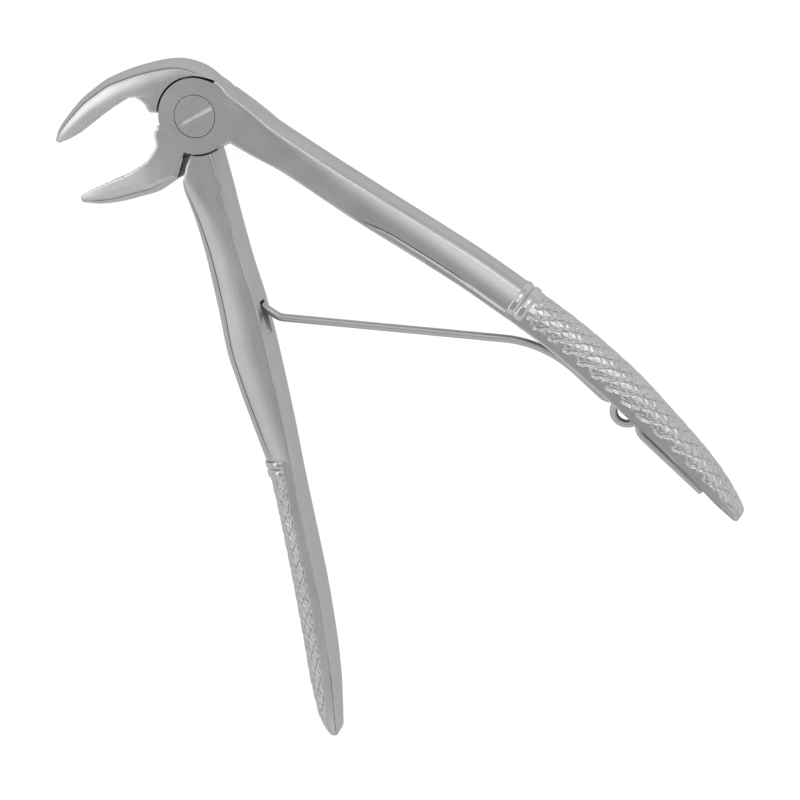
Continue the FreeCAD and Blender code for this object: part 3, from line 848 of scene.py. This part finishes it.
def steel(name, tone, rough, along_degrees, brush=1.0, mottle=0.06):
    """Satin steel with fine grinding lines along one direction and a little unevenness."""
    material = bpy.data.materials.new(name)
    material.use_nodes = True
    nodes = material.node_tree.nodes
    links = material.node_tree.links
    shader = nodes["Principled BSDF"]
    shader.inputs["Metallic"].default_value = 1.0
    shader.inputs["Specular Tint"].default_value = (0.72, 0.72, 0.72, 1)
    place = nodes.new("ShaderNodeTexCoord")
    lay = nodes.new("ShaderNodeMapping")
    lay.inputs["Rotation"].default_value[2] = math.radians(-along_degrees)
    links.new(place.outputs["Object"], lay.inputs["Vector"])
    stretch = nodes.new("ShaderNodeMapping")
    stretch.inputs["Scale"].default_value = (120, 2600, 2600)
    links.new(lay.outputs["Vector"], stretch.inputs["Vector"])
    lines = nodes.new("ShaderNodeTexNoise")
    lines.inputs["Scale"].default_value = 1.0
    lines.inputs["Detail"].default_value = 4.0
    links.new(stretch.outputs["Vector"], lines.inputs["Vector"])
    patches = nodes.new("ShaderNodeTexNoise")
    patches.inputs["Scale"].default_value = 170.0
    patches.inputs["Detail"].default_value = 3.0
    links.new(lay.outputs["Vector"], patches.inputs["Vector"])
    both = nodes.new("ShaderNodeMix")
    both.data_type = "FLOAT"
    both.inputs["Factor"].default_value = 0.45
    links.new(lines.outputs["Fac"], both.inputs[2])
    links.new(patches.outputs["Fac"], both.inputs[3])
    colour = nodes.new("ShaderNodeMapRange")
    colour.inputs["To Min"].default_value = tone - mottle
    colour.inputs["To Max"].default_value = tone + mottle
    links.new(both.outputs[0], colour.inputs["Value"])
    warm = nodes.new("ShaderNodeCombineColor")
    for channel, gain in (("Red", 1.0), ("Green", 0.995), ("Blue", 0.985)):
        scale = nodes.new("ShaderNodeMath")
        scale.operation = "MULTIPLY"
        scale.inputs[1].default_value = gain
        links.new(colour.outputs["Result"], scale.inputs[0])
        links.new(scale.outputs[0], warm.inputs[channel])
    links.new(warm.outputs["Color"], shader.inputs["Base Color"])
    rougher = nodes.new("ShaderNodeMapRange")
    rougher.inputs["To Min"].default_value = rough - 0.05
    rougher.inputs["To Max"].default_value = rough + 0.07
    links.new(both.outputs[0], rougher.inputs["Value"])
    links.new(rougher.outputs["Result"], shader.inputs["Roughness"])
    bump = nodes.new("ShaderNodeBump")
    bump.inputs["Strength"].default_value = 0.12 * brush
    bump.inputs["Distance"].default_value = 0.00004
    links.new(lines.outputs["Fac"], bump.inputs["Height"])
    links.new(bump.outputs["Normal"], shader.inputs["Normal"])
    return material


def keep_in_box(piece):
    """Hold a skin inside the outer sizes of the solid model."""
    points = np.empty(len(piece.data.vertices) * 3, np.float32)
    piece.data.vertices.foreach_get("co", points)
    points = np.clip(points.reshape(-1, 3), list(cad_low), list(cad_high)).astype(np.float32)
    piece.data.vertices.foreach_set("co", points.ravel())


def dress(piece, material, body):
    keep_in_box(piece)
    piece.data.materials.clear()
    piece.data.materials.append(material)
    if body:
        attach(piece, body)


def paint_plain(piece, stations, side, band, plain):
    """Give the ground inner side and the band beside it the plain steel; the knurl keeps its own."""
    piece.data.materials.append(plain)
    inner = columns(stations)[0]
    along = np.arange(GRIP_START - 1, GRIP_END + 1, 0.5)
    edge = [float(inner(a)) for a in along]
    centres = np.empty(len(piece.data.polygons) * 3, np.float32)
    piece.data.polygons.foreach_get("center", centres)
    plan = turn(centres.reshape(-1, 3)[:, :2] / MM, -side * HALF_OPEN)
    is_plain = side * plan[:, 1] < np.interp(plan[:, 0], along, edge) + 0.95 * band
    piece.data.polygons.foreach_set("material_index", is_plain.astype(np.int32))


# ---------------------------------------------------------------- the pieces

front_steel = steel("front_steel", 0.40, 0.33, HALF_OPEN)
back_steel = steel("back_steel", 0.40, 0.33, -HALF_OPEN)
front_knurl = steel("front_knurl", 0.44, 0.25, HALF_OPEN, 1.0, 0.08)
back_knurl = steel("back_knurl", 0.44, 0.25, -HALF_OPEN, 1.0, 0.08)
screw_steel = steel("screw_steel", 0.41, 0.32, SCREW_GRAIN, 0.7, 0.04)
wire_steel = steel("wire_steel", 0.39, 0.38, HALF_OPEN, 0.6, 0.05)
# The slot floor's steel is painted lighter than the head, a painted highlight standing in for its
# reflection.
slot_painted_highlight = steel("slot_painted_highlight", 0.68, 0.45, SLOT_TURN, 0.4, 0.05)

front = front_forging()
smooth_shade(front)
dress(front, front_steel, "front_half")
front_grip = grip("front_half_grip", FRONT_GRIP, 1, FRONT_BAND, slot_floor)
smooth_shade(front_grip, 50)
dress(front_grip, front_knurl, "front_half")
paint_plain(front_grip, FRONT_GRIP, 1, FRONT_BAND, front_steel)
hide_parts("front_half")

back = back_forging()
smooth_shade(back)
dress(back, back_steel, "back_half")
back_grip = grip("back_half_grip", BACK_GRIP, -1, BACK_BAND, None)
smooth_shade(back_grip, 50)
dress(back_grip, back_knurl, "back_half")
paint_plain(back_grip, BACK_GRIP, -1, BACK_BAND, back_steel)
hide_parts("back_half")

wire = spring()
smooth_shade(wire, 60)
dress(wire, wire_steel, None)
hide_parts("spring_leg", "spring_coil")
slide_way = Vector((*turn([[1.0, SLIDE_SLOPE]], HALF_OPEN)[0], 0)).normalized()
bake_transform(wire)

screw = pivot_screw()
dress(screw, screw_steel, "back_half")
screw.data.materials.append(slot_painted_highlight)
paint_slot_highlight(screw)
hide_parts("pivot_screw")


# ---------------------------------------------------------------- floor, light and camera

def floor():
    mesh = bpy.data.meshes.new("floor")
    reach = 3.0
    mesh.from_pydata([(-reach, -reach, 0), (reach, -reach, 0), (reach, reach, 0), (-reach, reach, 0)],
                     [], [[0, 1, 2, 3]])
    plane = bpy.data.objects.new("floor", mesh)
    plane.location.z = -0.0001
    bpy.context.scene.collection.objects.link(plane)
    pale = bpy.data.materials.new("floor_pale")
    pale.use_nodes = True
    shader = pale.node_tree.nodes["Principled BSDF"]
    shader.inputs["Base Color"].default_value = (0.18, 0.18, 0.18, 1)
    shader.inputs["Roughness"].default_value = 0.9
    shader.inputs["Specular IOR Level"].default_value = 0.0
    shader.inputs["Emission Color"].default_value = (1, 1, 1, 1)
    shader.inputs["Emission Strength"].default_value = 0.90
    plane.data.materials.append(pale)


def tent():
    """The white tent round the object: brightest half way up, darker at the top and at the floor."""
    world = bpy.data.worlds.new("studio")
    world.use_nodes = True
    nodes = world.node_tree.nodes
    links = world.node_tree.links
    place = nodes.new("ShaderNodeTexCoord")
    parts = nodes.new("ShaderNodeSeparateXYZ")
    links.new(place.outputs["Generated"], parts.inputs["Vector"])
    ramp = nodes.new("ShaderNodeValToRGB")
    links.new(parts.outputs["Z"], ramp.inputs["Fac"])
    stops = ramp.color_ramp.elements
    stops[0].position, stops[0].color = 0.0, (0.55, 0.55, 0.55, 1)
    stops[1].position, stops[1].color = 1.0, (0.36, 0.36, 0.36, 1)
    for height, level in ((0.35, 0.60), (0.60, 0.95), (0.76, 0.85), (0.90, 0.42)):
        stop = stops.new(height)
        stop.color = (level, level, level, 1)
    back = nodes["Background"]
    links.new(ramp.outputs["Color"], back.inputs["Color"])
    back.inputs["Strength"].default_value = 1.45
    bpy.context.scene.world = world


def softbox(name, azimuth, elevation, away, wide, power):
    """An area light round the object's middle, aimed at it."""
    lamp = bpy.data.lights.new(name, "AREA")
    lamp.shape = "RECTANGLE"
    lamp.size = wide
    lamp.size_y = wide * 0.6
    lamp.energy = power
    spot = bpy.data.objects.new(name, lamp)
    a = math.radians(azimuth)
    e = math.radians(elevation)
    way = Vector((math.cos(a) * math.cos(e), math.sin(a) * math.cos(e), math.sin(e)))
    middle = (cad_low + cad_high) / 2
    spot.location = middle + way * away
    spot.rotation_mode = "QUATERNION"
    spot.rotation_quaternion = way.to_track_quat("Z", "Y")
    bpy.context.scene.collection.objects.link(spot)


def camera():
    """The viewing place, told from the pivot in a frame turned about Z so that its Y axis points up."""
    tilt = math.radians(20.0)
    toward = math.radians(48.7)
    distance = 398.0
    aim = Vector((36.0, -53.7, 0))
    lean = Vector((math.sin(tilt) * math.cos(toward), math.sin(tilt) * math.sin(toward), math.cos(tilt)))
    place = aim + distance * lean
    axis = Vector((0, 0, 1)).cross(lean).normalized()
    hold = Matrix.Rotation(tilt, 4, axis)
    frame_turn = Matrix.Rotation(math.radians(58.355), 4, "Z")
    lens = bpy.data.cameras.new("camera")
    lens.sensor_width = 36.0
    lens.lens = 2123 * 36.0 / 800
    lens.clip_start = 0.01
    lens.clip_end = 20
    view = bpy.data.objects.new("camera", lens)
    bpy.context.scene.collection.objects.link(view)
    view.matrix_world = (Matrix.Translation((0, 0, MIDDLE * MM)) @ frame_turn
                         @ Matrix.Translation(place * MM) @ hold)
    bpy.context.scene.camera = view


floor()
tent()
softbox("key", 224, 40, 0.8, 0.5, 0.9)
softbox("top", 112, 70, 0.9, 0.40, 0.60)
softbox("rim", 112, 44, 0.8, 0.30, 0.40)
bpy.context.scene.view_settings.view_transform = "Standard"
camera()
